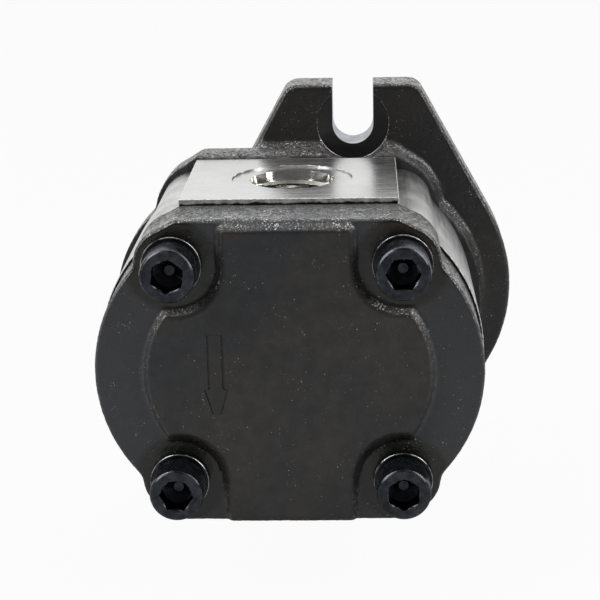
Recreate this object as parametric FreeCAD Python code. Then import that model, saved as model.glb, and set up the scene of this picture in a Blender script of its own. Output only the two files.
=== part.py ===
import FreeCAD, Part
import math
import os

# External gear pump with a slotted mounting flange.
# Millimetres. The origin is the middle of the pilot on the mounting face.
# +Y runs along the drive shaft towards the engine, +Z points up to the outlet port.

# Housing stack along the shaft
ear_thickness = 13.4
base_depth = 11.2
body_length = 52.0
cover_thickness = 17.5
pad_rise = 2.0

# Outline of the cover and the body: two side arcs and a lobe round each screw
shaft_offset = 17.0
side_arc_x = 8.5
body_side_r = 44.0
cover_side_r = 43.3
body_lobe_r = 10.0
cover_lobe_r = 10.3
lobe_hollow_r = 5.0
cast_edge_r = 0.8

# Outline of the flange base: fuller lobes, set in from the screws, and sides nearer the gears
base_side_x = 19.0
base_side_r = 36.3
base_lobe_in = 4.5
base_lobe_down = 3.5
base_lobe_r = 17.1

# Flats above and below the outline
port_pad_top = 43.4
port_pad_half = 29.5
cover_top = 42.0
cover_top_half = 29.0
base_top = 44.85
base_top_half = 28.2
base_slope_run = 5.2
base_slope_drop = 1.25
shoulder_sink = 0.1

# Screws that hold the stack together
screw_x = 30.0
screw_z = 30.0
screw_r = 4.76
screw_hole_gap = 0.3
thread_gap = 0.02
screw_engagement = 10.4
tap_run_out = 1.6
head_r = 7.15
head_height = 9.6
head_chamfer = 0.7
socket_flats = 7.94
socket_depth = 5.4
socket_cone = 1.6
screw_tip_chamfer = 0.9
washer_r = 8.0
washer_thickness = 1.6
socket_turns = {"upper_left": 12.0, "upper_right": 0.0, "lower_left": 20.0, "lower_right": 30.0}

# Rear cover face
cover_rim = 0.7
pad_arc_r = 30.0
pad_top = 40.6
pad_slope = 1.3
pad_corner_r = 1.6
bite_r = 12.3

# Mounting flange
flange_r = 48.0
ear_top = 63.5
ear_slope = 29.0
ear_corner_r = 5.0
ear_rim = 1.0
slot_half_width = 6.15
slot_z = 51.6
spotface_r = 10.75
spotface_depth = 0.4
root_fillet_r = 3.0
pilot_r = 41.275
pilot_height = 6.35
pilot_chamfer = 0.8

# Ports
outlet_spotface_r = 17.0
outlet_seat_r = 11.9
outlet_seat_depth = 2.6
outlet_thread_r = 10.25
outlet_thread_depth = 17.0
inlet_spotface_r = 20.5
inlet_seat_r = 14.6
inlet_seat_depth = 3.3
inlet_thread_r = 12.5
inlet_thread_depth = 19.0
port_spotface_depth = 0.5
port_seat_angle = 12.0
outlet_passage_r = 7.0
inlet_passage_r = 9.0

# Gears
teeth = 12
pressure_angle = 25.0
root_clearance = 0.2
tooth_thinning = 0.12
gear_width = 22.0
tip_gap = 0.08
side_play = 0.05

# Shafts and bearings
journal_r = 9.5
journal_gap = 0.03
journal_end_gap = 0.8
journal_chamfer = 1.0
bush_wall = 1.5
bush_inset = 0.3
press_gap = 0.01
block_gap = 0.03
seal_land_r = 9.0
seal_land_taper = 1.0
shoulder_stand_off = 1.0
drive_r = 7.9375
drive_length = 31.75
drive_chamfer = 1.2
centre_drill_r = 2.0
shaft_room = 2.0
key_width = 3.97
key_length = 19.0
key_end = 3.0
key_gap = 0.02

# Seals
body_seal_wall = 2.0
body_seal_width = 2.2
body_seal_depth = 1.5
groove_gap = 0.05
balance_seal_r = 14.4
balance_seal_width = 2.2
balance_seal_depth = 1.4
balance_end_gap = 0.2
backup_depth = 1.0
seal_bore_r = 15.0
seal_width = 7.0
seal_case_wall = 1.2
lip_gap = 0.05
lip_height = 2.4
lip_wall = 0.6
lip_wedge = 1.0
lip_web = 1.9
spring_r = 0.7
ring_set = 1.2
ring_thickness = 1.2
ring_groove_depth = 0.8
ring_reach = 2.6
ring_mouth = 7.0
lug_r = 2.1
lug_hole_r = 0.9
lug_drop = 0.2

# Dowel pins
dowel_r = 3.0
dowel_length = 12.0

# Places worked out from the sizes above
body_x = -shaft_offset
driven_x = -2 * shaft_offset
ear_y = -ear_thickness
base_y = ear_y - base_depth
body_y = base_y - body_length
land_y = body_y - cover_thickness
pad_y = land_y - pad_rise
middle_y = (base_y + body_y) / 2
head_seat_y = land_y - washer_thickness

gear_module = 2 * shaft_offset / teeth
pitch_r = shaft_offset
base_circle_r = pitch_r * math.cos(math.radians(pressure_angle))
tip_r = pitch_r + gear_module
root_r = pitch_r - gear_module * (1 + root_clearance)
chamber_r = tip_r + tip_gap
block_r = chamber_r - block_gap
block_width = (body_length - gear_width) / 2 - side_play
bush_in_r = journal_r + journal_gap
bush_out_r = bush_in_r + bush_wall
shaft_hole_r = seal_land_r + shaft_room
screw_hole_r = screw_r + screw_hole_gap
screw_tip_y = base_y + screw_engagement
seal_outer_r = chamber_r + body_seal_wall + body_seal_width
dowel_z = (seal_outer_r + port_pad_top) / 2
shoulder_y = pilot_height + shoulder_stand_off

screw_places = {
    "upper_left": (body_x - screw_x, screw_z),
    "upper_right": (body_x + screw_x, screw_z),
    "lower_left": (body_x - screw_x, -screw_z),
    "lower_right": (body_x + screw_x, -screw_z),
}
dowel_places = {"drive_side": (0.0, dowel_z), "driven_side": (driven_x, -dowel_z)}


def point(x, y, z):
    return FreeCAD.Vector(x, y, z)


def disc(x, z, radius):
    """Flat round face across the shaft direction."""
    return Part.Face(Part.Wire(Part.makeCircle(radius, point(x, 0, z), point(0, 1, 0))))


def rectangle(x0, x1, z0, z1):
    """Flat rectangular face across the shaft direction."""
    return polygon([(x0, z0), (x0, z1), (x1, z1), (x1, z0)])


def polygon(corners):
    loop = [point(x, 0, z) for x, z in corners + corners[:1]]
    return Part.Face(Part.makePolygon(loop))


def joined(first, others):
    """One flat face from several that overlap."""
    return first.fuse(others).removeSplitter().Faces[0]


def plain_edge(edge):
    """Straight edge as a line, round edge as one arc through its ends and its middle."""
    start, end = edge.ParameterRange
    ends = edge.valueAt(start), edge.valueAt(end)
    middle = edge.valueAt((start + end) / 2)
    if abs(edge.Length - (ends[1] - ends[0]).Length) < 1e-6:
        return Part.makeLine(ends[0], ends[1])
    return Part.Arc(ends[0], middle, ends[1]).toShape()


def rounded(face, hollow_r, corner_r):
    """Round the inner corners of a face, then its outer corners."""
    face = face.makeOffset2D(hollow_r).makeOffset2D(-hollow_r)
    face = face.makeOffset2D(-corner_r).makeOffset2D(corner_r)
    edges = [plain_edge(edge) for edge in face.OuterWire.OrderedEdges]
    return Part.Face(Part.Wire(edges))


def prism(face, y0, y1):
    """Flat face drawn at y = 0, made solid from y0 to y1."""
    placed = face.copy()
    placed.translate(point(0, y0, 0))
    return placed.extrude(point(0, y1 - y0, 0))


def rod(x, z, radius, y0, y1):
    return Part.makeCylinder(radius, y1 - y0, point(x, y0, z), point(0, 1, 0))


def ring(x, z, inner_r, outer_r, y0, y1):
    return rod(x, z, outer_r, y0, y1).cut(rod(x, z, inner_r, y0 - 1, y1 + 1))


def block(x0, x1, y0, y1, z0, z1):
    return Part.makeBox(x1 - x0, y1 - y0, z1 - z0, point(x0, y0, z0))


def turned(profile, x=0.0):
    """Solid turned about the shaft direction from (radius, y) points."""
    loop = [point(x + r, y, 0) for r, y in profile + profile[:1]]
    return Part.Face(Part.makePolygon(loop)).revolve(point(x, 0, 0), point(0, 1, 0), 360)


def edges_at(shape, y):
    """Edges that lie wholly in the plane at y."""
    return [e for e in shape.Edges if abs(e.BoundBox.YMin - y) < 1e-5 and abs(e.BoundBox.YMax - y) < 1e-5]


def moved(face, x):
    placed = face.copy()
    placed.translate(point(x, 0, 0))
    return placed


def housing_outline(side, lobe, flat):
    """Side arcs (x, radius), a lobe (x, z, radius) at each corner and the flats (half width, height)."""
    side_x, side_r = side
    lobe_x, lobe_z, lobe_r = lobe
    flat_half, flat_top = flat
    lobes = [disc(sx * lobe_x, sz * lobe_z, lobe_r) for sx in (-1, 1) for sz in (-1, 1)]
    face = joined(disc(-side_x, 0, side_r), [disc(side_x, 0, side_r)] + lobes)
    face = rounded(face, lobe_hollow_r, cast_edge_r)
    wide = side_x + side_r
    face = face.common(rectangle(-wide, wide, -flat_top, flat_top)).Faces[0]
    return joined(face, [rectangle(-flat_half, flat_half, -flat_top, flat_top)])


def shoulders(lobe, flat):
    """Slopes from the ends of a casting's flats down to its screw lobes, which they enter a little.

    A mirrored corner list runs the other way round, so that all four faces look one way.
    """
    lobe_x, lobe_z, lobe_r = lobe
    flat_half, flat_top = flat
    up = flat_top - lobe_z
    out = flat_half - lobe_x
    reach_r = lobe_r - shoulder_sink
    touch = math.atan2(up, out) - math.acos(reach_r / math.hypot(up, out))
    end = (lobe_x + reach_r * math.cos(touch), lobe_z + reach_r * math.sin(touch))
    slope = [(flat_half, flat_top), end, (lobe_x, lobe_z), (lobe_x - lobe_r, lobe_z)]
    return [polygon([(sx * x, sz * z) for x, z in slope[::sx * sz]]) for sx in (-1, 1) for sz in (-1, 1)]


def cast_outline(side, lobe, flat):
    """The same outline with a casting's shoulders and softened corners, at its place in the pump."""
    face = joined(housing_outline(side, lobe, flat), shoulders(lobe, flat))
    return moved(rounded(face, lobe_hollow_r, cast_edge_r), body_x)


def screw_holes(radius, y0, y1):
    return [rod(x, z, radius, y0, y1) for x, z in screw_places.values()]


def dowel_holes(y):
    """Holes for the two dowel pins across the joint at y."""
    half = dowel_length / 2 + groove_gap
    return [rod(x, z, dowel_r + press_gap, y - half, y + half) for x, z in dowel_places.values()]


def stadium(radius):
    """Two discs on the gear axes joined by straight sides."""
    ends = [disc(driven_x, 0, radius), rectangle(driven_x, 0, -radius, radius)]
    return joined(disc(0, 0, radius), ends)


def body_seal(y0, y1, slack):
    """Ring between the gear chambers and the screws."""
    inner = prism(stadium(seal_outer_r - body_seal_width - slack), y0 - 1, y1 + 1)
    return prism(stadium(seal_outer_r + slack), y0, y1).cut(inner)


def balance_band(slack):
    """Three shaped band that parts the pressure side of a bearing block from its suction side."""
    inner = balance_seal_r - balance_seal_width / 2 - slack
    outer = balance_seal_r + balance_seal_width / 2 + slack
    lower = rectangle(driven_x - outer, outer, -outer, 0)
    bands = [disc(x, 0, outer).cut(disc(x, 0, inner)).common(lower).Faces[0] for x in (0, driven_x)]
    top = balance_seal_width + slack
    reach = block_r - balance_end_gap + slack
    centre = rectangle(driven_x + inner, -inner, -slack, top)
    ends = [rectangle(inner, reach, -slack, top), rectangle(driven_x - reach, driven_x - inner, -slack, top)]
    return joined(bands[0], [bands[1], centre] + ends)


def port_cut(direction, spotface_r, seat_r, seat_depth, thread_r, thread_depth, passage_r):
    """Spotface, seal ring seat, threaded bore and passage from a port face to the gear chamber."""
    start = point(body_x, middle_y, direction * port_pad_top)
    inward = point(0, 0, -direction)
    floor = start + inward * port_spotface_depth
    spotface = Part.makeCylinder(spotface_r, port_spotface_depth + 1, start - inward, inward)
    seat_end_r = seat_r - seat_depth * math.tan(math.radians(port_seat_angle))
    seat = Part.makeCone(seat_r, seat_end_r, seat_depth, floor, inward)
    lead_in = Part.makeCone(seat_end_r, thread_r, seat_end_r - thread_r, floor + inward * seat_depth, inward)
    bore = Part.makeCylinder(thread_r, thread_depth, floor, inward)
    drill_end = floor + inward * thread_depth
    drill_cone = Part.makeCone(thread_r, passage_r, thread_r - passage_r, drill_end, inward)
    passage = Part.makeCylinder(passage_r, port_pad_top - port_spotface_depth, floor, inward)
    return spotface.fuse([seat, lead_in, bore, drill_cone, passage])


def rear_cover():
    """Cast rear cover: screw lobes, side wings and a raised pad bitten away round each screw."""
    lobe = (screw_x, screw_z, cover_lobe_r)
    outline = cast_outline((side_arc_x, cover_side_r), lobe, (cover_top_half, cover_top))
    cover = prism(outline, land_y, body_y)
    cover = cover.makeChamfer(cover_rim, edges_at(cover, land_y))
    pad = joined(disc(-side_arc_x, 0, pad_arc_r), [
        disc(side_arc_x, 0, pad_arc_r),
        rectangle(bite_r - screw_x, screw_x - bite_r, -cover_top, pad_top)])
    bites = [disc(sx * screw_x, sz * screw_z, bite_r) for sx in (-1, 1) for sz in (-1, 1)]
    pad = moved(rounded(pad.cut(bites).Faces[0], pad_corner_r, pad_corner_r), body_x)
    pad = prism(pad, pad_y, land_y + 2 * cover_rim)
    pad = pad.makeChamfer(pad_slope, edges_at(pad, pad_y))
    cover = cover.fuse(pad).Solids[0].removeSplitter()
    return cover.cut(screw_holes(screw_hole_r, land_y - 1, body_y + 1) + dowel_holes(body_y))


def gear_body():
    """Machined middle housing: gear chambers, port pads, seal grooves and the through holes."""
    lobe = (screw_x, screw_z, body_lobe_r)
    outline = housing_outline((side_arc_x, body_side_r), lobe, (port_pad_half, port_pad_top))
    body = prism(moved(outline, body_x), body_y, base_y)
    chambers = [rod(x, 0, chamber_r, body_y - 1, base_y + 1) for x in (0, driven_x)]
    outlet = port_cut(1, outlet_spotface_r, outlet_seat_r, outlet_seat_depth, outlet_thread_r,
                      outlet_thread_depth, outlet_passage_r)
    inlet = port_cut(-1, inlet_spotface_r, inlet_seat_r, inlet_seat_depth, inlet_thread_r,
                     inlet_thread_depth, inlet_passage_r)
    grooves = [body_seal(body_y - 1, body_y + body_seal_depth, groove_gap)]
    grooves.append(body_seal(base_y - body_seal_depth, base_y + 1, groove_gap))
    holes = screw_holes(screw_hole_r, body_y - 1, base_y + 1)
    return body.cut(chambers + [outlet, inlet] + grooves + holes + dowel_holes(body_y) + dowel_holes(base_y))


def ear_outline():
    """Flange disc with an ear above and below, its sides tangent to the disc."""
    lean = math.radians(ear_slope)
    tangent = (flange_r * math.cos(lean), flange_r * math.sin(lean))
    top_half = (flange_r - ear_top * math.sin(lean)) / math.cos(lean)
    side = [(top_half, ear_top), tangent, (tangent[0], -tangent[1]), (top_half, -ear_top)]
    ears = polygon(side + [(-x, z) for x, z in reversed(side)])
    return rounded(joined(disc(0, 0, flange_r), [ears]), ear_corner_r, ear_corner_r)


def base_slopes():
    """Wedges that let the flats of the flange base fall towards the body."""
    wide = base_top_half + base_lobe_r
    wedges = []
    for side in (-1, 1):
        section = [point(body_x - wide, base_y, side * (base_top - base_slope_drop)),
                   point(body_x - wide, base_y + base_slope_run, side * base_top),
                   point(body_x - wide, base_y, side * base_top)]
        wedge = Part.Face(Part.makePolygon(section + section[:1]))
        wedges.append(wedge.extrude(point(2 * wide, 0, 0)))
    return wedges


def mounting_flange():
    """Cast front flange: base behind the ears, root fillet, slots, spotfaces, pilot and bores."""
    lobe = (screw_x - base_lobe_in, screw_z - base_lobe_down, base_lobe_r)
    base = prism(cast_outline((base_side_x, base_side_r), lobe, (base_top_half, base_top)), base_y, ear_y)
    base = base.cut(base_slopes())
    reach = 2 * ear_top
    plate = block(-reach, reach, ear_y, 0, -reach, reach)
    stand = plate.fuse(base).removeSplitter()
    rim = reach - 1
    root = [e for e in edges_at(stand, ear_y) if e.BoundBox.XMax < rim and e.BoundBox.XMin > -rim]
    stand = stand.makeFillet(root_fillet_r, root)
    outline = ear_outline()
    ear = prism(outline, ear_y, 0)
    ear = ear.makeChamfer(ear_rim, edges_at(ear, ear_y))
    flare = stand.common(prism(outline.makeOffset2D(-ear_rim), base_y, ear_y + ear_rim))
    pilot = rod(0, 0, pilot_r, -1, pilot_height)
    pilot = pilot.makeChamfer(pilot_chamfer, edges_at(pilot, pilot_height))
    flange = ear.fuse([flare, base, pilot]).removeSplitter()
    cuts = screw_holes(screw_r + thread_gap, base_y - 1, screw_tip_y + tap_run_out) + dowel_holes(base_y)
    for side in (-1, 1):
        centre = side * slot_z
        cuts.append(rod(0, centre, slot_half_width, ear_y - 1, 1))
        ends = sorted((centre, side * (ear_top + 1)))
        cuts.append(block(-slot_half_width, slot_half_width, ear_y - 1, 1, ends[0], ends[1]))
        cuts.append(rod(0, centre, spotface_r, base_y - 1, ear_y + spotface_depth))
    seal_front = pilot_height - ring_set - ring_thickness
    cuts.append(rod(0, 0, shaft_hole_r, base_y - 1, pilot_height + 1))
    cuts.append(rod(0, 0, seal_bore_r, seal_front - seal_width - groove_gap, pilot_height + 1))
    ring_groove_r = seal_bore_r + ring_groove_depth
    cuts.append(rod(0, 0, ring_groove_r, seal_front - groove_gap, seal_front + ring_thickness))
    return flange.cut(cuts)


def involute(angle):
    return math.tan(angle) - angle


def tooth_half_angle(radius):
    """Half the angle that a tooth spans at a radius."""
    at_radius = math.acos(min(1.0, base_circle_r / radius))
    half_pitch = math.pi / (2 * teeth) - tooth_thinning / (2 * pitch_r)
    return half_pitch + involute(math.radians(pressure_angle)) - involute(at_radius)


def gear(x, first_tooth):
    """Spur gear with involute flanks; first_tooth is the angle of one tooth from +X, in degrees."""
    def at(radius, angle):
        return point(x + radius * math.cos(angle), 0, radius * math.sin(angle))

    def flank(centre, side):
        """Two arcs through points of the involute: base circle to pitch circle, and on to the tip."""
        radii = [base_circle_r, (base_circle_r + pitch_r) / 2, pitch_r, (pitch_r + tip_r) / 2, tip_r]
        on = [at(r, centre + side * tooth_half_angle(r)) for r in radii]
        arcs = [Part.Arc(on[0], on[1], on[2]).toShape(), Part.Arc(on[2], on[3], on[4]).toShape()]
        return on[0], on[-1], arcs

    edges = []
    pitch = 2 * math.pi / teeth
    foot = tooth_half_angle(base_circle_r)
    for i in range(teeth):
        centre = math.radians(first_tooth) + i * pitch
        low_base, low_tip, low = flank(centre, -1)
        high_base, high_tip, high = flank(centre, 1)
        low_root = at(root_r, centre - foot)
        high_root = at(root_r, centre + foot)
        next_root = at(root_r, centre + pitch - foot)
        edges.append(Part.makeLine(low_root, low_base))
        edges.extend(low)
        edges.append(Part.Arc(low_tip, at(tip_r, centre), high_tip).toShape())
        edges.extend(high)
        edges.append(Part.makeLine(high_base, high_root))
        edges.append(Part.Arc(high_root, at(root_r, centre + pitch / 2), next_root).toShape())
    outline = Part.Face(Part.Wire(Part.__sortEdges__(edges)))
    return prism(outline, middle_y - gear_width / 2, middle_y + gear_width / 2)


def drive_gear_shaft():
    """Gear cut in one piece with its shaft: two journals, the seal land and the keyed end."""
    rear = body_y + journal_end_gap
    shaft = turned([
        (0, rear), (journal_r - journal_chamfer, rear), (journal_r, rear + journal_chamfer),
        (journal_r, base_y), (seal_land_r, base_y + seal_land_taper),
        (seal_land_r, shoulder_y - seal_land_taper), (drive_r, shoulder_y),
        (drive_r, drive_length - drive_chamfer), (drive_r - drive_chamfer, drive_length),
        (centre_drill_r, drive_length), (0, drive_length - centre_drill_r)])
    shaft = shaft.fuse(gear(0, 0)).removeSplitter()
    half = key_width / 2 + key_gap
    key_y = drive_length - key_end
    keyseat = block(-half, half, key_y - key_length - key_gap, key_y + key_gap, drive_r - half, drive_r + 1)
    return shaft.cut(keyseat)


def driven_gear_shaft():
    """Gear cut in one piece with its two journals, a tooth space facing the drive gear."""
    rear = body_y + journal_end_gap
    front = base_y - journal_end_gap
    shaft = turned([
        (0, rear), (journal_r - journal_chamfer, rear), (journal_r, rear + journal_chamfer),
        (journal_r, front - journal_chamfer), (journal_r - journal_chamfer, front), (0, front)], driven_x)
    return shaft.fuse(gear(driven_x, 180.0 / teeth)).removeSplitter()


def bearing_block(joint_y, inward):
    """Figure eight block that carries both journals and closes one side of the gears."""
    y0, y1 = sorted((joint_y, joint_y + inward * block_width))
    blank = prism(joined(disc(0, 0, block_r), [disc(driven_x, 0, block_r)]), y0, y1)
    bores = [rod(x, 0, bush_out_r + press_gap, y0 - 1, y1 + 1) for x in (0, driven_x)]
    depth = balance_seal_depth + backup_depth
    g0, g1 = sorted((joint_y - inward, joint_y + inward * depth))
    groove = prism(balance_band(groove_gap), g0, g1)
    return blank.cut(bores + [groove])


def bush(x, joint_y, inward):
    """Plain bearing bush pressed into a block, set a little below both faces."""
    y0, y1 = sorted((joint_y + inward * bush_inset, joint_y + inward * (block_width - bush_inset)))
    return ring(x, 0, bush_in_r, bush_out_r, y0, y1)


def balance_layer(joint_y, inward, near, far):
    """Layer of the balance groove between two depths below the joint."""
    y0, y1 = sorted((joint_y + inward * near, joint_y + inward * far))
    return prism(balance_band(0.0), y0, y1)


def shaft_seal():
    """Lip seal in the pilot bore: pressed steel case, rubber lip and garter spring."""
    front = pilot_height - ring_set - ring_thickness - groove_gap
    back = front - seal_width
    case_r = seal_bore_r - press_gap
    flange_in = case_r - 2 * seal_case_wall
    case = turned([(case_r, back), (case_r, front), (flange_in, front), (flange_in, front - seal_case_wall),
                   (case_r - seal_case_wall, front - seal_case_wall), (case_r - seal_case_wall, back)])
    lip_tip = seal_land_r + lip_gap
    lip_y = back + seal_width / 3
    lip_back = seal_land_r + lip_height
    heel = back + lip_wall
    neck = lip_tip + lip_wall
    seat = (spring_r + groove_gap) * math.sqrt(2)
    lip = turned([
        (flange_in, front), (neck, front), (lip_tip, lip_y), (lip_tip + lip_wedge, heel), (lip_back, heel),
        (lip_back, lip_y - seat), (lip_back - seat, lip_y), (lip_back, lip_y + seat),
        (lip_back, front - lip_web), (flange_in, front - lip_web)])
    sixths = [math.radians(60 * i) for i in range(6)]
    spring = turned([(lip_back + spring_r * math.cos(a), lip_y + spring_r * math.sin(a)) for a in sixths])
    return {"shaft_seal_case": case, "shaft_seal_lip": lip, "garter_spring": spring}


def seal_retaining_ring():
    """Internal snap ring with an open mouth and a plier hole in each end."""
    front = pilot_height - ring_set
    back = front - ring_thickness
    outer = seal_bore_r + ring_groove_depth - groove_gap
    inner = seal_bore_r - ring_reach
    snap = ring(0, 0, inner, outer, back, front)
    lug_x = (ring_mouth + lug_r) / 2
    lug_z = lug_drop - inner
    lugs = [rod(side * lug_x, lug_z, lug_r, back, front) for side in (-1, 1)]
    holes = [rod(side * lug_x, lug_z, lug_hole_r, back - 1, front + 1) for side in (-1, 1)]
    half = ring_mouth / 2 - lug_r / 2
    mouth = block(-half, half, back - 1, front + 1, -outer - 1, lug_z + lug_r + 1)
    return snap.fuse(lugs).cut([mouth] + holes)


def shaft_key():
    """Square key seated half its height in the drive shaft."""
    y1 = drive_length - key_end
    half = key_width / 2
    return block(-half, half, y1 - key_length, y1, drive_r - half, drive_r + half)


def cap_screw(x, z, turn):
    """Socket head cap screw from the rear cover into the mounting flange."""
    head_y = head_seat_y - head_height
    screw = turned([
        (0, head_y), (head_r - head_chamfer, head_y), (head_r, head_y + head_chamfer), (head_r, head_seat_y),
        (screw_r, head_seat_y), (screw_r, screw_tip_y - screw_tip_chamfer),
        (screw_r - screw_tip_chamfer, screw_tip_y), (0, screw_tip_y)], x)
    screw.translate(point(0, 0, z))
    corner_r = socket_flats / math.sqrt(3)
    corners = [math.radians(turn + 60 * i) for i in range(6)]
    socket = polygon([(x + corner_r * math.cos(a), z - corner_r * math.sin(a)) for a in corners])
    socket = prism(socket, head_y - 1, head_y + socket_depth)
    floor = point(x, head_y + socket_depth, z)
    cone = Part.makeCone(socket_flats / 2, 0, socket_cone, floor, point(0, 1, 0))
    return screw.cut([socket, cone])


def all_pieces():
    """Every piece of the pump by its node name."""
    pieces = {
        "rear_cover": rear_cover(),
        "gear_body": gear_body(),
        "mounting_flange": mounting_flange(),
        "drive_gear_shaft": drive_gear_shaft(),
        "driven_gear_shaft": driven_gear_shaft(),
        "shaft_key": shaft_key(),
        "seal_retaining_ring": seal_retaining_ring(),
    }
    pieces.update(shaft_seal())
    for end, joint_y, inward in (("front", base_y, -1), ("rear", body_y, 1)):
        pieces[end + "_bearing_block"] = bearing_block(joint_y, inward)
        pieces[end + "_drive_bush"] = bush(0, joint_y, inward)
        pieces[end + "_driven_bush"] = bush(driven_x, joint_y, inward)
        seal_y = sorted((joint_y, joint_y + inward * body_seal_depth))
        pieces[end + "_body_seal"] = body_seal(seal_y[0], seal_y[1], 0.0)
        pieces[end + "_balance_seal"] = balance_layer(
            joint_y, inward, backup_depth, backup_depth + balance_seal_depth)
        pieces[end + "_backup_ring"] = balance_layer(joint_y, inward, 0.0, backup_depth)
        for name, (x, z) in dowel_places.items():
            half = dowel_length / 2
            pieces[end + "_dowel_" + name] = rod(x, z, dowel_r, joint_y - half, joint_y + half)
    for name, (x, z) in screw_places.items():
        pieces["cap_screw_" + name] = cap_screw(x, z, socket_turns[name])
        pieces["washer_" + name] = ring(x, z, screw_hole_r, washer_r, head_seat_y, land_y)
    return pieces


os.makedirs("parts", exist_ok=True)
for node, shape in all_pieces().items():
    if shape.ShapeType == "Compound" and len(shape.Solids) == 1:
        shape = shape.Solids[0]
    shape.exportStep("parts/" + node + ".step")
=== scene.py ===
import math

import bpy
from mathutils import Matrix, Vector


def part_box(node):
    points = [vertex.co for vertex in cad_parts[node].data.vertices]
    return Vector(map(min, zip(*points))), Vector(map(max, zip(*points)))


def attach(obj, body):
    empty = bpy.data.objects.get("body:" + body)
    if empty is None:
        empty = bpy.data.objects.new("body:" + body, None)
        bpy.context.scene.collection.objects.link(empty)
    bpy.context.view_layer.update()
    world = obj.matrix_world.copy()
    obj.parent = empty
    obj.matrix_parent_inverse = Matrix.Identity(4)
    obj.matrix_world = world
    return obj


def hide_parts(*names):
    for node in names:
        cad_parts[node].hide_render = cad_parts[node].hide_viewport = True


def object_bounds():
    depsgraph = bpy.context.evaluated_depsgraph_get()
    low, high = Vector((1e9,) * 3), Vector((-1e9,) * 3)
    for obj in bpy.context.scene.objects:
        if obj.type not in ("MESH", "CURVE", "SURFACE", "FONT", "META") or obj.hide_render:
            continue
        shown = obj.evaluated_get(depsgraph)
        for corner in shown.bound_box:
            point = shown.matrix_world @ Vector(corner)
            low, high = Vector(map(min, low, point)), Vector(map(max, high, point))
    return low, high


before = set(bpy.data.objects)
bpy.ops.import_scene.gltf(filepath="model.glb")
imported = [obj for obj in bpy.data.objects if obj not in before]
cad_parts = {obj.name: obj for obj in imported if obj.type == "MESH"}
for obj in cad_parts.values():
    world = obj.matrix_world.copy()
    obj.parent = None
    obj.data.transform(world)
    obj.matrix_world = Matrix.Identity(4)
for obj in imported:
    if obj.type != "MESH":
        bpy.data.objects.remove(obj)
cad_low, cad_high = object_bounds()
bpy.ops.object.select_all(action="DESELECT")
mm = 0.001


# Mounting flange
# The real flange is a sand casting in grey iron, whose two slotted ears bolt the pump to an engine. Its slots are
# milled and spotfaced, it is painted black, and then its mounting face, spigot and bores are turned bare.

flange_joint_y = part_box("mounting_flange")[0].y
ear_face_y = -13.4 * mm
spotface_y = -13.0 * mm
spotface_r = 10.75 * mm
spotface_cut = 14 * mm
chamfer_wide = 0.42 * mm
chamfer_narrow = 0.10 * mm
chamfer_depth = 0.52 * mm
chamfer_middle = 0.34 * mm
highlight_step_wide = 0.40 * mm
highlight_step_high = 0.22 * mm
highlight_step_in = 5 * mm
slot_half = 6.15 * mm
slot_z = 51.6 * mm
slot_drawn_out = 15 * mm
pump_x = -17.0 * mm
screw_spread = 30.0 * mm
tapped_r = 4.78 * mm
tapped_end_y = -12.6 * mm
dowel_r = 3.01 * mm
dowel_z = 33.755 * mm
dowel_spread = 17.0 * mm
dowel_reach = 6.05 * mm
seal_bore_r = 15.0 * mm
seal_bore_y = -3.15 * mm
shaft_hole_r = 11.0 * mm
joint_rounding = 0.35 * mm
sawn_face_y = -0.2 * mm
spare_skin = 2 * mm
spigot_overlap = 0.3 * mm
flange_grain = 0.66 * mm
slot_shrink = 0.88
past = mm  # how far a cutter reaches past what it cuts
near = 0.01 * mm  # a corner this close to a place is at it
merge_reach = 0.001 * mm
round_sides = 96


def only(piece):
    """Make one piece the selected and active one."""
    bpy.ops.object.select_all(action="DESELECT")
    piece.select_set(True)
    bpy.context.view_layer.objects.active = piece


def edit(piece):
    """Open one piece for editing, all of it selected."""
    only(piece)
    bpy.ops.object.mode_set(mode="EDIT")
    bpy.ops.mesh.select_all(action="SELECT")


def close_edit():
    """Leave edit mode."""
    bpy.ops.object.mode_set(mode="OBJECT")


def pick_corners(piece, wanted):
    """While a piece is open, select the corners whose place passes a test."""
    bpy.ops.mesh.select_mode(type="VERT")
    bpy.ops.mesh.select_all(action="DESELECT")
    close_edit()
    for corner in piece.data.vertices:
        corner.select = bool(wanted(corner.co))
    bpy.ops.object.mode_set(mode="EDIT")


def copy_of_node(node, name):
    """A merged copy of a solid's mesh as a new piece."""
    piece = bpy.data.objects.new(name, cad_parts[node].data.copy())
    bpy.context.scene.collection.objects.link(piece)
    piece.data.materials.clear()
    edit(piece)
    bpy.ops.mesh.remove_doubles(threshold=merge_reach)
    bpy.ops.mesh.customdata_custom_splitnormals_clear()
    close_edit()
    return piece


def move_corners(piece, wanted, move):
    """Move the corners that pass a test."""
    edit(piece)
    pick_corners(piece, wanted)
    bpy.ops.transform.translate(value=move)
    close_edit()


def saw_off(piece, place, normal):
    """Cut off what lies beyond a plane and close the cut with a flat."""
    edit(piece)
    bpy.ops.mesh.bisect(plane_co=place, plane_no=normal, clear_outer=True, threshold=1e-7)
    bpy.ops.mesh.fill(use_beauty=True)
    close_edit()


def finish_with(piece, kind, **settings):
    """Add a modifier with its settings and apply it."""
    modifier = piece.modifiers.new(kind.lower(), kind)
    for key, value in settings.items():
        setattr(modifier, key, value)
    only(piece)
    bpy.ops.object.modifier_apply(modifier=modifier.name)


def unevenness(piece, size, height, middle):
    """Raise and sink a surface by noise of one size."""
    sand = bpy.data.textures.new(piece.name + "_sand", "CLOUDS")
    sand.noise_scale = size
    sand.noise_depth = 3
    finish_with(piece, "DISPLACE", texture=sand, texture_coords="LOCAL", strength=height, mid_level=middle)
    bpy.data.textures.remove(sand)


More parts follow.
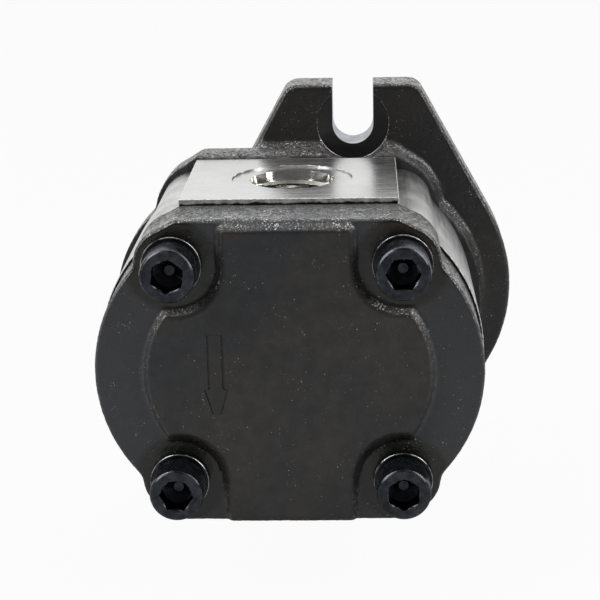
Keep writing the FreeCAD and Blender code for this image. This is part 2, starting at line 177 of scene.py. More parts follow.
def cast_skin(piece, grain):
    """Round all corners as sand does, then make the flats a little uneven and grainy."""
    finish_with(piece, "REMESH", mode="VOXEL", voxel_size=grain)
    finish_with(piece, "SMOOTH", factor=0.5, iterations=2)
    unevenness(piece, 6.0 * mm, 0.12 * mm, 0.75)
    unevenness(piece, 1.1 * mm, 0.15 * mm, 0.90)


def at_screws(radius, y0, y1):
    """Holes for the four screws that hold the pump together."""
    return [(pump_x + sx * screw_spread, sz * screw_spread, radius, y0, y1) for sx in (-1, 1) for sz in (-1, 1)]


def at_dowels(y0, y1):
    """Holes for the two dowels of a joint."""
    return [(pump_x + side * dowel_spread, side * dowel_z, dowel_r, y0, y1) for side in (-1, 1)]


def drills(holes):
    """One cutter of several straight drills, each (x, z, radius, y0, y1)."""
    tools = []
    for x, z, radius, y0, y1 in holes:
        bpy.ops.mesh.primitive_cylinder_add(
            vertices=round_sides, radius=radius, depth=y1 - y0,
            location=(x, (y0 + y1) / 2, z), rotation=(math.pi / 2, 0, 0))
        tools.append(bpy.context.object)
    only(tools[0])
    for tool in tools[1:]:
        tool.select_set(True)
    if len(tools) > 1:
        bpy.ops.object.join()
    return tools[0]


def cut_with(piece, cutter):
    """Cut one shape out of a piece and throw the cutter away."""
    finish_with(piece, "BOOLEAN", operation="DIFFERENCE", solver="EXACT", object=cutter)
    bpy.data.objects.remove(cutter)


def slot_cutter(end):
    """A round cutter whose outer half is drawn out past the ear's end."""
    tool = drills([(0, end * slot_z, slot_half, ear_face_y - 3 * past, past)])
    bpy.ops.object.transform_apply(location=True, rotation=True)
    move_corners(tool, lambda co: end * co.z > slot_z + near, (0, 0, end * slot_drawn_out))
    return tool


def put_together(piece, slot, *nodes):
    """Ride on the housing and stand for nodes, which are hidden. The slot is not used."""
    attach(piece, "housing")
    if nodes:
        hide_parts(*nodes)


def smooth_by(piece, degrees):
    """Shade a piece smooth, but not across edges sharper than an angle."""
    only(piece)
    bpy.ops.object.shade_smooth_by_angle(angle=math.radians(degrees))


def add(tree, kind, **settings):
    """A shader node with its settings, which may be plain attributes or input values."""
    made = tree.nodes.new(kind)
    for key, value in settings.items():
        if hasattr(made, key):
            setattr(made, key, value)
        else:
            made.inputs[key.replace("_", " ")].default_value = value
    return made


def ranged(tree, value, low, high, to_low=0.0, to_high=1.0):
    """A value brought from one range to another and held at both ends."""
    made = add(tree, "ShaderNodeMapRange", From_Min=low, From_Max=high, To_Min=to_low, To_Max=to_high)
    tree.links.new(value, made.inputs["Value"])
    return made.outputs["Result"]


def maths(tree, operation, first, second):
    """Two values, each an output or a plain number, taken together."""
    made = add(tree, "ShaderNodeMath", operation=operation)
    for place, value in enumerate((first, second)):
        if isinstance(value, float):
            made.inputs[place].default_value = value
        else:
            tree.links.new(value, made.inputs[place])
    return made.outputs["Value"]


def blended(tree, mask, first, second):
    """Two colours, each an output or plain numbers, mixed by a mask."""
    made = add(tree, "ShaderNodeMix", data_type="RGBA")
    tree.links.new(mask, made.inputs["Factor"])
    for name, colour in (("A", first), ("B", second)):
        if isinstance(colour, tuple):
            made.inputs[name].default_value = (*colour, 1)
        else:
            tree.links.new(colour, made.inputs[name])
    return made.outputs["Result"]


def noise(tree, place, size, detail, roughness):
    """Noise at a size in features for each metre, where the size may be an output."""
    made = add(tree, "ShaderNodeTexNoise", Detail=detail, Roughness=roughness)
    tree.links.new(place, made.inputs["Vector"])
    if isinstance(size, float):
        made.inputs["Scale"].default_value = size
    else:
        tree.links.new(size, made.inputs["Scale"])
    return made.outputs["Fac"]


def new_finish(name):
    """A new material, with its node tree and its main shader."""
    material = bpy.data.materials.new(name)
    material.use_nodes = True
    return material, material.node_tree, material.node_tree.nodes["Principled BSDF"]


def raise_by(tree, height, strength, distance):
    """Bump the surface by a height."""
    bump = add(tree, "ShaderNodeBump", Strength=strength, Distance=distance)
    tree.links.new(height, bump.inputs["Height"])
    tree.links.new(bump.outputs["Normal"], tree.nodes["Principled BSDF"].inputs["Normal"])


def effect(name, inputs, outputs):
    """An empty node group: named inputs, each a number or a vector, and named outputs that are numbers."""
    group = bpy.data.node_groups.new(name, "ShaderNodeTree")
    for title, value in inputs:
        kind = "NodeSocketVector" if isinstance(value, tuple) else "NodeSocketFloat"
        socket = group.interface.new_socket(name=title, in_out="INPUT", socket_type=kind)
        socket.default_value = value
    for title in outputs:
        group.interface.new_socket(name=title, in_out="OUTPUT", socket_type="NodeSocketFloat")
    return group, group.nodes.new("NodeGroupInput").outputs, group.nodes.new("NodeGroupOutput").inputs


def sand_skin_group():
    """A painted sand casting: the sand's height, paint blotches, bright grit with painted glints, and dust with a
    painted sheen on what faces up and, less, on what faces sideways.

    Its walls, which don't face along y, are rougher than its faces, and where they face up they carry more bright
    specks, as painted glints.
    """
    group, given, out = effect(
        "sand_skin",
        (("Fine size", 2600.0), ("Coarse size", 700.0), ("Coarse share", 0.35), ("Grit", 0.72), ("Wall glint", 0.12)),
        ("Height", "Blotch", "Mottle", "Grit", "Dust_and_sheen", "Wall"))
    link = group.links.new
    place = add(group, "ShaderNodeTexCoord")
    spot = place.outputs["Object"]
    facing = add(group, "ShaderNodeSeparateXYZ")
    link(place.outputs["Normal"], facing.inputs["Vector"])
    wall = ranged(group, maths(group, "ABSOLUTE", facing.outputs["Y"], 0.0), 0.96, 0.80)
    link(wall, out["Wall"])
    fine = noise(group, spot, given["Fine size"], 3.0, 0.6)
    coarse = noise(group, spot, given["Coarse size"], 4.0, 0.6)
    height = add(group, "ShaderNodeMix", data_type="FLOAT")
    link(given["Coarse share"], height.inputs["Factor"])
    link(fine, height.inputs["A"])
    link(coarse, height.inputs["B"])
    swing = maths(group, "SUBTRACT", height.outputs["Result"], 0.5)
    link(maths(group, "MULTIPLY", swing, ranged(group, wall, 0.0, 1.0, 1.0, 3.2)), out["Height"])
    link(noise(group, spot, 38.0, 3.0, 0.5), out["Blotch"])
    link(noise(group, spot, 240.0, 5.0, 0.65), out["Mottle"])
    # walls that face up catch more bright specks, as painted glints
    glint_slope = maths(group, "MULTIPLY", wall, ranged(group, facing.outputs["Z"], 0.0, 0.6, 0.15, 1.0))
    limit = maths(group, "SUBTRACT", given["Grit"], maths(group, "MULTIPLY", glint_slope, given["Wall glint"]))
    grains = maths(group, "SUBTRACT", noise(group, spot, 2300.0, 1.0, 0.5), limit)
    patch = ranged(group, noise(group, spot, 170.0, 3.0, 0.7), 0.50, 0.60)
    patch = maths(group, "ADD", patch, maths(group, "MULTIPLY", glint_slope, 0.35))
    link(maths(group, "MULTIPLY", ranged(group, grains, 0.0, 0.035), patch), out["Grit"])
    # dust, which also paints a sheen of light, on what faces up and a little on what faces sideways
    sideways = maths(group, "MULTIPLY", maths(group, "ABSOLUTE", facing.outputs["X"], 0.0), 0.4)
    upward = ranged(group, maths(group, "ADD", facing.outputs["Z"], sideways), 0.65, 0.95)
    patchy = ranged(group, noise(group, spot, 1000.0, 2.0, 0.7), 0.51, 0.60)
    link(maths(group, "MULTIPLY", upward, patchy), out["Dust_and_sheen"])
    return group


def worn_edge_group():
    """Mask of the outer corners, broken up by noise."""
    group, given, out = effect(
        "worn_edge", (("Start", 0.54), ("End", 0.63), ("Break up", 1300.0)), ("Mask",))
    place = add(group, "ShaderNodeTexCoord")
    shape = add(group, "ShaderNodeNewGeometry")
    corner = add(group, "ShaderNodeMapRange")
    link = group.links.new
    link(shape.outputs["Pointiness"], corner.inputs["Value"])
    link(given["Start"], corner.inputs["From Min"])
    link(given["End"], corner.inputs["From Max"])
    broken = ranged(group, noise(group, place.outputs["Object"], given["Break up"], 3.0, 0.7), 0.50, 0.60)
    link(maths(group, "MULTIPLY", corner.outputs["Result"], broken), out["Mask"])
    return group


sand_skin = sand_skin_group()
worn_edge = worn_edge_group()


# bright specks: sand grit, with painted glints where they gather on walls that face up
grit_and_glint = (0.60, 0.58, 0.54)
worn_iron = (0.42, 0.40, 0.37)
# oil and painted shade near a joint, and the painted shade of the gap itself
oil_and_joint_shade = (0.012, 0.011, 0.008)
joint_gap_shade = (0.004, 0.004, 0.004)


def cast_paint(
        name, warm, cool, dust_sheen_colour, rough_low, rough_high, relief, grit, worn=0.54,
        joint=None, reach=None, land=None, shaded_recesses=None):
    """Black paint on a sand casting: warm and cool blotches, grit with painted glints, dust with a painted sheen on
    tops, and corners worn bright.

    A higher worn leaves fewer corners bright. The paint can be darkened by oil and painted shade for some reach
    from a joint at one y, a little lighter on a land at another, and painted dark as shade, and glossier, in round
    hollows about the screws (centre x, spread, radius).
    """
    material, tree, surface = new_finish(name)
    link = tree.links.new
    surface.inputs["IOR"].default_value = 1.6
    skin = add(tree, "ShaderNodeGroup", node_tree=sand_skin, Grit=grit).outputs
    wear = add(tree, "ShaderNodeGroup", node_tree=worn_edge, Start=worn, End=worn + 0.09).outputs["Mask"]
    paint = blended(tree, ranged(tree, skin["Blotch"], 0.42, 0.58), cool, warm)
    shade = ranged(tree, skin["Mottle"], 0.35, 0.65, 0.0, 0.55)
    paint = blended(tree, shade, paint, tuple(0.35 * c for c in cool))
    # dust on tops, which also paints the sheen of light on them
    paint = blended(tree, skin["Dust_and_sheen"], paint, dust_sheen_colour)
    rough = ranged(tree, skin["Mottle"], 0.35, 0.65, rough_low, rough_high)
    spot = add(tree, "ShaderNodeTexCoord").outputs["Object"]
    # glossy grains among matt ones, on the walls only
    shine = maths(tree, "MULTIPLY", ranged(tree, noise(tree, spot, 850.0, 2.0, 0.75), 0.47, 0.60), skin["Wall"])
    matt = maths(tree, "SUBTRACT", skin["Wall"], shine)
    rough = maths(tree, "MULTIPLY", rough, maths(tree, "ADD", matt, 1.0))
    link(maths(tree, "MULTIPLY", shine, 0.8), surface.inputs["Coat Weight"])
    surface.inputs["Coat Roughness"].default_value = 0.22
    parts = add(tree, "ShaderNodeSeparateXYZ")
    link(spot, parts.inputs["Vector"])
    if land is not None:
        set_back = ranged(tree, parts.outputs["Y"], land - 0.7 * mm, land - 0.2 * mm, 0.0, 0.8)
        paint = blended(tree, set_back, paint, tuple(1.75 * c for c in cool))
    # round the screws the paint is painted dark, as shade, and made glossier
    if shaded_recesses:
        centre_x, spread, radius = shaded_recesses
        sides = add(tree, "ShaderNodeVectorMath", operation="SUBTRACT")
        sides.inputs[1].default_value = (centre_x, 0, 0)
        link(spot, sides.inputs[0])
        folded = add(tree, "ShaderNodeVectorMath", operation="ABSOLUTE")
        link(sides.outputs["Vector"], folded.inputs[0])
        offset = add(tree, "ShaderNodeVectorMath", operation="MULTIPLY_ADD")
        offset.inputs[1].default_value = (1, 0, 1)
        offset.inputs[2].default_value = (-spread, 0, -spread)
        link(folded.outputs["Vector"], offset.inputs[0])
        away = add(tree, "ShaderNodeVectorMath", operation="LENGTH")
        link(offset.outputs["Vector"], away.inputs[0])
        inside = ranged(tree, away.outputs["Value"], radius - mm, radius + 0.6 * mm, 1.0, 0.0)
        inside = maths(tree, "MULTIPLY", inside, maths(tree, "SUBTRACT", 1.0, skin["Dust_and_sheen"]))
        paint = blended(tree, inside, paint, tuple(0.30 * c for c in warm))
        rough = maths(tree, "MULTIPLY", rough, ranged(tree, inside, 0.0, 1.0, 1.0, 0.6))
    # bright specks of grit, some of them painted glints
    paint = blended(tree, skin["Grit"], paint, grit_and_glint)
    paint = blended(tree, wear, paint, worn_iron)
    # near a joint the paint is darkened by oil and painted shade, and a thin ragged line at the gap is painted black
    # as its shade
    if joint is not None:
        gap = maths(tree, "ABSOLUTE", maths(tree, "SUBTRACT", parts.outputs["Y"], joint), 0.0)
        ragged = ranged(tree, noise(tree, spot, 420.0, 3.0, 0.6), 0.35, 0.65, -0.5 * mm, 1.2 * mm)
        away = maths(tree, "SUBTRACT", gap, ragged)
        paint = blended(tree, ranged(tree, away, mm, reach, 0.6, 0.0), paint, oil_and_joint_shade)
        paint = blended(tree, ranged(tree, away, 0.4 * mm, 1.3 * mm, 1.0, 0.0), paint, joint_gap_shade)
        rough = maths(tree, "ADD", rough, ranged(tree, away, 0.4 * mm, reach, 0.5, 0.0))
    link(paint, surface.inputs["Base Color"])
    link(rough, surface.inputs["Roughness"])
    raise_by(tree, skin["Height"], 0.8, relief)
    return material


def tool_marks_group():
    """Marks that a tool leaves on metal: straight brushed lines, turned rings about a centre, and stains."""
    group, given, out = effect(
        "tool_marks",
        (("Centre", (0.0, 0.0, 0.0)), ("Stretch", (1.0, 1.0, 1.0)), ("Ring size", 3500.0), ("Stain size", 60.0)),
        ("Brushed", "Turned", "Stain"))
    link = group.links.new
    place = add(group, "ShaderNodeTexCoord")
    centred = add(group, "ShaderNodeVectorMath", operation="SUBTRACT")
    link(place.outputs["Object"], centred.inputs[0])
    link(given["Centre"], centred.inputs[1])
    stretched = add(group, "ShaderNodeVectorMath", operation="MULTIPLY")
    link(centred.outputs["Vector"], stretched.inputs[0])
    link(given["Stretch"], stretched.inputs[1])
    link(noise(group, stretched.outputs["Vector"], 1.0, 4.0, 0.6), out["Brushed"])
    across = add(group, "ShaderNodeVectorMath", operation="MULTIPLY")
    across.inputs[1].default_value = (1, 0, 1)
    link(centred.outputs["Vector"], across.inputs[0])
    radius = add(group, "ShaderNodeVectorMath", operation="LENGTH")
    link(across.outputs["Vector"], radius.inputs[0])
    parts = add(group, "ShaderNodeSeparateXYZ")
    link(centred.outputs["Vector"], parts.inputs["Vector"])
    turned = add(group, "ShaderNodeCombineXYZ")
    link(radius.outputs["Value"], turned.inputs["X"])
    link(parts.outputs["Y"], turned.inputs["Y"])
    rings = add(group, "ShaderNodeTexNoise", noise_dimensions="2D", Detail=2.0, Roughness=0.5)
    link(turned.outputs["Vector"], rings.inputs["Vector"])
    link(given["Ring size"], rings.inputs["Scale"])
    link(rings.outputs["Fac"], out["Turned"])
    link(noise(group, place.outputs["Object"], given["Stain size"], 5.0, 0.6), out["Stain"])
    return group


tool_marks = tool_marks_group()


def bare_metal(
        name, dark, light, rough_low, rough_high, marks, depth,
        centre=(0, 0, 0), stretch=(1, 1, 1), stains=60.0, metallic=1.0):
    """Bare metal whose gloss and height follow its tool marks, and whose colour follows its stains."""
    material, tree, surface = new_finish(name)
    link = tree.links.new
    surface.inputs["Metallic"].default_value = metallic
    tool = add(
        tree, "ShaderNodeGroup", node_tree=tool_marks, Centre=centre, Stretch=stretch, Stain_size=stains).outputs
    link(blended(tree, ranged(tree, tool["Stain"], 0.35, 0.65), dark, light), surface.inputs["Base Color"])
    link(ranged(tree, tool[marks], 0.35, 0.65, rough_low, rough_high), surface.inputs["Roughness"])
    raise_by(tree, tool[marks], 0.5, depth)
    return material


flange_paint = cast_paint(
    "flange_paint", (0.0165, 0.0140, 0.0118), (0.0105, 0.0102, 0.0110), (0.15, 0.15, 0.16), 0.22, 0.34,
    0.10 * mm, 0.72, joint=flange_joint_y, reach=2.5 * mm)
smooth_paint = cast_paint(
    "paint_on_milled_iron", (0.0110, 0.0105, 0.0105), (0.0095, 0.0095, 0.0100), (0.09, 0.09, 0.095), 0.20, 0.28,
    0.01 * mm, 0.95, worn=0.90)
milled_slot = bare_metal(
    "milled_slot", (0.30, 0.31, 0.335), (0.52, 0.53, 0.57), 0.34, 0.50, "Brushed", 0.02 * mm,
    stretch=(300, 2500, 300), stains=300.0)
turned_iron = bare_metal("turned_iron", (0.33, 0.32, 0.31), (0.47, 0.46, 0.45), 0.24, 0.38, "Turned", 0.02 * mm)

flange = copy_of_node("mounting_flange", "flange_casting")
saw_off(flange, (0, sawn_face_y, 0), (0, 1, 0))
move_corners(flange, lambda co: co.y > sawn_face_y - near, (0, spare_skin, 0))
move_corners(flange, lambda co: co.y < flange_joint_y + near, (0, -joint_rounding, 0))
move_corners(
    flange,
    lambda co: abs(co.y - spotface_y) < near and math.hypot(co.x, abs(co.z) - slot_z) < spotface_r + near,
    (0, ear_face_y - spotface_y, 0))
# the slots are drawn in before the skin is made, and the cutter opens them to size after it
for end in (-1, 1):
    edit(flange)
    pick_corners(flange, lambda co: abs(co.x) < slot_half + 2 * near and end * co.z > slot_z - slot_half - 2 * near)
    bpy.ops.transform.resize(value=(slot_shrink, 1, 1), center_override=(0, 0, 0))
    pick_corners(flange, lambda co: abs(co.x) < slot_half and near < slot_z - end * co.z < slot_half + 2 * near)
    bpy.ops.transform.resize(value=(1, 1, slot_shrink), center_override=(0, 0, end * slot_z))
    close_edit()
cast_skin(flange, flange_grain)
saw_off(flange, (0, flange_joint_y, 0), (0, -1, 0))
saw_off(flange, (0, 0, 0), (0, 1, 0))
holes = at_screws(tapped_r, flange_joint_y - past, tapped_end_y)
holes += at_dowels(flange_joint_y - past, flange_joint_y + dowel_reach)
holes += [(0, end * slot_z, spotface_r, ear_face_y - spotface_cut, spotface_y) for end in (-1, 1)]
holes += [(0, 0, seal_bore_r, seal_bore_y, past)]
cut_with(flange, drills(holes))
cut_with(flange, drills([(0, 0, shaft_hole_r, flange_joint_y - past, 0)]))
for end in (-1, 1):
    bpy.ops.mesh.primitive_cone_add(
        vertices=round_sides, radius1=spotface_r + chamfer_wide, radius2=spotface_r - chamfer_narrow,
        depth=chamfer_depth, location=(0, spotface_y - chamfer_middle, end * slot_z),
        rotation=(-math.pi / 2, 0, 0))
    cut_with(flange, bpy.context.object)
    cut_with(flange, slot_cutter(end))
for finish in (flange_paint, turned_iron, smooth_paint, milled_slot):
    flange.data.materials.append(finish)
for face in flange.data.polygons:
    middle = face.center
    from_slot = math.hypot(middle.x, abs(middle.z) - slot_z)
    on_face = abs(middle.y) < near and abs(face.normal.y) > 0.99
    in_bore = math.hypot(middle.x, middle.z) < seal_bore_r + near
    # the step round a spotface is bare on its inner side only, both its wall and its chamfer: a painted highlight on
    # the side where light catches the step
    tilt = abs(face.normal.y)
    on_highlight_step = (-2 * near < from_slot - spotface_r < highlight_step_wide and ear_face_y - highlight_step_high < middle.y
               and abs(middle.z) < slot_z - highlight_step_in and (tilt < 0.2 or abs(tilt - math.sqrt(0.5)) < 0.01))
    in_slot = abs(middle.x) < slot_half + near and abs(middle.z) > slot_z - slot_half - near
    on_spotface = from_slot < spotface_r and abs(middle.y - spotface_y) < near
    if on_face or in_bore or on_highlight_step:
        face.material_index = 1
    elif on_spotface:
        face.material_index = 2
    elif in_slot:
        face.material_index = 3
put_together(flange, "black_casting", "mounting_flange")
smooth_by(flange, 35)

spigot = copy_of_node("mounting_flange", "pilot_spigot")
saw_off(spigot, (0, 2 * near, 0), (0, -1, 0))
move_corners(spigot, lambda co: co.y < 3 * near, (0, -spigot_overlap, 0))
spigot.data.materials.append(turned_iron)
put_together(spigot, "black_casting", "mounting_flange")
smooth_by(spigot, 30)


# Shaft seal and retaining ring
# A real lip seal is a pressed steel case with a rubber lip bonded in it and a small garter spring round the lip.
# It is pressed into the spigot's bore, and a snap ring of blued spring steel in a groove keeps it there.

def moulded(name, first, second, roughness, size, depth):
    """Rubber or plastic from a mould, with a fine even grain."""
    material, tree, surface = new_finish(name)
    surface.inputs["Roughness"].default_value = roughness
    place = add(tree, "ShaderNodeTexCoord").outputs["Object"]
    clouds = noise(tree, place, 0.2 * size, 4.0, 0.6)
    tree.links.new(blended(tree, clouds, first, second), surface.inputs["Base Color"])
    raise_by(tree, noise(tree, place, size, 3.0, 0.6), 0.5, depth)
    return material


def dress(material, *nodes):
    """Give CAD solids a finish in place of the plain one they are loaded with."""
    for node in nodes:
        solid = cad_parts[node].data
        solid.materials.clear()
        solid.materials.append(material)


pressed_steel = bare_metal("pressed_steel", (0.42, 0.42, 0.43), (0.55, 0.55, 0.56), 0.28, 0.42, "Turned", 0.01 * mm)
blued_steel = bare_metal(
    "blued_spring_steel", (0.10, 0.11, 0.14), (0.17, 0.17, 0.19), 0.26, 0.40, "Brushed", 0.008 * mm,
    stretch=(900, 900, 900))
seal_rubber = moulded("nitrile_rubber", (0.012, 0.012, 0.013), (0.022, 0.022, 0.022), 0.55, 4000.0, 0.02 * mm)
dress(pressed_steel, "shaft_seal_case")
dress(seal_rubber, "shaft_seal_lip")
dress(blued_steel, "garter_spring", "seal_retaining_ring")


# Gears and key
# Each real gear is cut in one piece with its shaft from case hardened steel, and its journals are ground.
# The drive gear's shaft carries a square key that is fitted by hand.

gear_steel = bare_metal("ground_gear_steel", (0.50, 0.50, 0.51), (0.64, 0.64, 0.65), 0.16, 0.30, "Turned", 0.006 * mm)
driven_steel = bare_metal(
    "ground_driven_steel", (0.50, 0.50, 0.51), (0.64, 0.64, 0.65), 0.16, 0.30, "Turned", 0.006 * mm,
    centre=(2 * pump_x, 0, 0))
key_steel = bare_metal(
    "drawn_key_steel", (0.40, 0.40, 0.40), (0.54, 0.54, 0.53), 0.24, 0.40, "Brushed", 0.01 * mm,
    stretch=(2500, 60, 2500))
dress(gear_steel, "drive_gear_shaft")
dress(driven_steel, "driven_gear_shaft")
dress(key_steel, "shaft_key")


# Bearing blocks and bushes
# The real blocks are die cast aluminium, turned to fit the gear chambers, and float on the ends of the gears.
# A bronze lined bush is pressed into each of their bores.

block_metal = bare_metal(
    "turned_block_aluminium", (0.62, 0.62, 0.61), (0.76, 0.76, 0.74), 0.26, 0.40, "Brushed", 0.012 * mm,
    stretch=(1600, 1600, 60))
bush_bronze = bare_metal("bush_bronze", (0.50, 0.33, 0.16), (0.66, 0.46, 0.25), 0.28, 0.46, "Turned", 0.01 * mm)
dress(block_metal, "front_bearing_block", "rear_bearing_block")
dress(bush_bronze, "front_drive_bush", "front_driven_bush", "rear_drive_bush", "rear_driven_bush")


# Seals and backup rings
# A real pump of this kind has a moulded rubber ring in each joint of the stack and a three shaped seal on each block.
# A thin plastic band backs that seal up, so that it isn't pressed into the gap.

backup_plastic = moulded("backup_plastic", (0.74, 0.71, 0.62), (0.82, 0.79, 0.70), 0.42, 2200.0, 0.01 * mm)
dress(seal_rubber, "front_body_seal", "rear_body_seal", "front_balance_seal", "rear_balance_seal")
dress(backup_plastic, "front_backup_ring", "rear_backup_ring")


# Dowels
# The real dowels are ground pins of hardened steel. Two in each joint are pushed into reamed holes, and they keep
# flange, body and cover in line.

pin_steel = bare_metal(
    "ground_pin_steel", (0.54, 0.54, 0.55), (0.66, 0.66, 0.67), 0.18, 0.30, "Brushed", 0.005 * mm,
    stretch=(200, 3000, 200))
dress(pin_steel, *(end + "_dowel_" + side for end in ("front", "rear") for side in ("drive_side", "driven_side")))


# Gear body
# The real body is cut from a metal extrusion, bored for the gears and milled flat on both port faces, and left bare.
# Each port is spotfaced, given a tapered seat for a seal ring, and tapped with a straight thread.

body_low, body_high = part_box("gear_body")
port_y = (body_low.y + body_high.y) / 2
port_face_z = 40 * mm
port_spotface_r = 16.6 * mm
port_clear_r = 17 * mm
thread_floor_z = 22 * mm
end_rim_r = 41 * mm
screw_clear_r = 5.6 * mm
rim_bevel = 0.24 * mm
thread_play = 0.04 * mm
thread_bite = 0.15 * mm
thread_runout = 1.5 * mm
thread_steps = 56
ridge_foot = 0.93
ridge_crest = 0.22
lead_in_low = 1.5 * mm
lead_in_high = 3.0 * mm
ports = {
    # name: which way it faces, minor radius, major radius, pitch, thread's first and last height, lead in height
    "outlet_thread": (1, 10.25 * mm, 11.1 * mm, 1.814 * mm, 40.0 * mm, 26.6 * mm, 39.2 * mm),
    "inlet_thread": (-1, 12.5 * mm, 13.5 * mm, 2.117 * mm, 39.4 * mm, 24.8 * mm, 38.2 * mm),
}

extruded_metal = bare_metal(
    "extruded_body", (0.38, 0.38, 0.375), (0.66, 0.66, 0.655), 0.28, 0.36, "Brushed", 0.001 * mm,
    stretch=(900, 60, 900), stains=110.0)
milled_metal = bare_metal(
    "milled_port_face", (0.60, 0.60, 0.595), (0.70, 0.70, 0.695), 0.22, 0.32, "Brushed", 0.012 * mm,
    stretch=(60, 2600, 60))
sawn_metal = bare_metal(
    "body_joint_face", (0.24, 0.245, 0.23), (0.58, 0.59, 0.56), 0.34, 0.50, "Brushed", 0.05 * mm,
    stretch=(700, 700, 700), stains=420.0, metallic=0.3)
tapped_metal = bare_metal(
    "tapped_bore", (0.55, 0.54, 0.50), (0.78, 0.77, 0.73), 0.07, 0.16, "Brushed", 0.015 * mm,
    stretch=(500, 500, 2400), stains=300.0)
# rubbed edges of the body, near white and barely metallic, so they also paint a highlight along the rims
rubbed_edge_highlight = bare_metal(
    "rubbed_body_edge_highlight", (0.30, 0.30, 0.29), (0.95, 0.95, 0.93), 0.40, 0.60, "Brushed", 0.06 * mm,
    stretch=(1500, 1500, 1500), stains=900.0, metallic=0.15)

# a ragged dark line painted as shade in the gap where the cover's top edge meets the body
cover_gap_shade = (0.004, 0.004, 0.003)
tree = sawn_metal.node_tree
colour = tree.nodes["Principled BSDF"].inputs["Base Color"]
spot = add(tree, "ShaderNodeTexCoord").outputs["Object"]
parts = add(tree, "ShaderNodeSeparateXYZ")
tree.links.new(spot, parts.inputs["Vector"])
above = maths(tree, "SUBTRACT", maths(tree, "ABSOLUTE", parts.outputs["Z"], 0.0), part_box("rear_cover")[1].z)
ragged = ranged(tree, noise(tree, spot, 300.0, 3.0, 0.6), 0.35, 0.65, -0.25 * mm, 0.35 * mm)
cover_gap_mask = ranged(tree, maths(tree, "SUBTRACT", above, ragged), 0.15 * mm, 0.5 * mm, 1.0, 0.0)
tree.links.new(blended(tree, cover_gap_mask, colour.links[0].from_socket, cover_gap_shade), colour)

body = copy_of_node("gear_body", "gear_body_housing")
edit(body)
bpy.ops.mesh.dissolve_limited(angle_limit=math.radians(0.3))
close_edit()
for way, minor_r, major_r, pitch, start, stop, lead in ports.values():
    edit(body)
    pick_corners(body, lambda co: stop - thread_runout < way * co.z < lead + near
                 and abs(math.hypot(co.x - pump_x, co.y - port_y) - minor_r) < near)
    wider = (major_r + thread_play) / minor_r
    bpy.ops.transform.resize(value=(wider, wider, 1), center_override=(pump_x, port_y, 0))
    close_edit()
for metal in (extruded_metal, milled_metal, sawn_metal, tapped_metal, rubbed_edge_highlight):
    body.data.materials.append(metal)


def pick_sharp_edges(piece, wanted):
    """While a piece is open, select the sharp edges whose two ends pass a test."""
    bpy.ops.mesh.select_mode(type="EDGE")
    bpy.ops.mesh.select_all(action="DESELECT")
    close_edit()
    sides = {}
    for face in piece.data.polygons:
        for key in face.edge_keys:
            sides.setdefault(key, []).append(face.normal.copy())
    for edge in piece.data.edges:
        beside = sides[tuple(sorted(edge.vertices))]
        ends = all(wanted(piece.data.vertices[index].co) for index in edge.vertices)
        edge.select = ends and len(beside) == 2 and beside[0].angle(beside[1]) > math.radians(40)
    bpy.ops.object.mode_set(mode="EDIT")


def from_port(co):
    """How far a place is from the two ports' axis."""
    return math.hypot(co.x - pump_x, co.y - port_y)


def on_outer_rim(co):
    """Whether a corner lies on the rim of a port face, or on the outer rim of either end."""
    if abs(co.z) > body_high.z - near and from_port(co) > port_clear_r:
        return True
    at_end = not body_low.y + near < co.y < body_high.y - near
    from_screw = math.hypot(abs(co.x - pump_x) - screw_spread, abs(co.z) - screw_spread)
    return at_end and math.hypot(co.x - pump_x, co.z) > end_rim_r and from_screw > screw_clear_r


# the bevels round the rims take the rubbed edge finish, which paints a highlight on them
edit(body)
pick_sharp_edges(body, on_outer_rim)
bpy.ops.mesh.bevel(offset=rim_bevel, segments=2, affect="EDGES", clamp_overlap=False, material=4)
close_edit()
for face in body.data.polygons:
    if face.material_index == 4:
        continue
    if abs(face.normal.z) > 0.99 and abs(face.center.z) > port_face_z:
        face.material_index = 1
    elif abs(face.normal.y) > 0.99:
        face.material_index = 2
    elif from_port(face.center) < port_spotface_r and abs(face.center.z) > thread_floor_z:
        face.material_index = 3
put_together(body, "machined_housing", "gear_body")
smooth_by(body, 50)
finish_with(body, "WEIGHTED_NORMAL", weight=100, keep_sharp=True)


def close_shell():
    """Turn all faces of the open piece outwards and leave edit mode."""
    bpy.ops.mesh.select_all(action="SELECT")
    bpy.ops.mesh.normals_make_consistent(inside=False)
    close_edit()


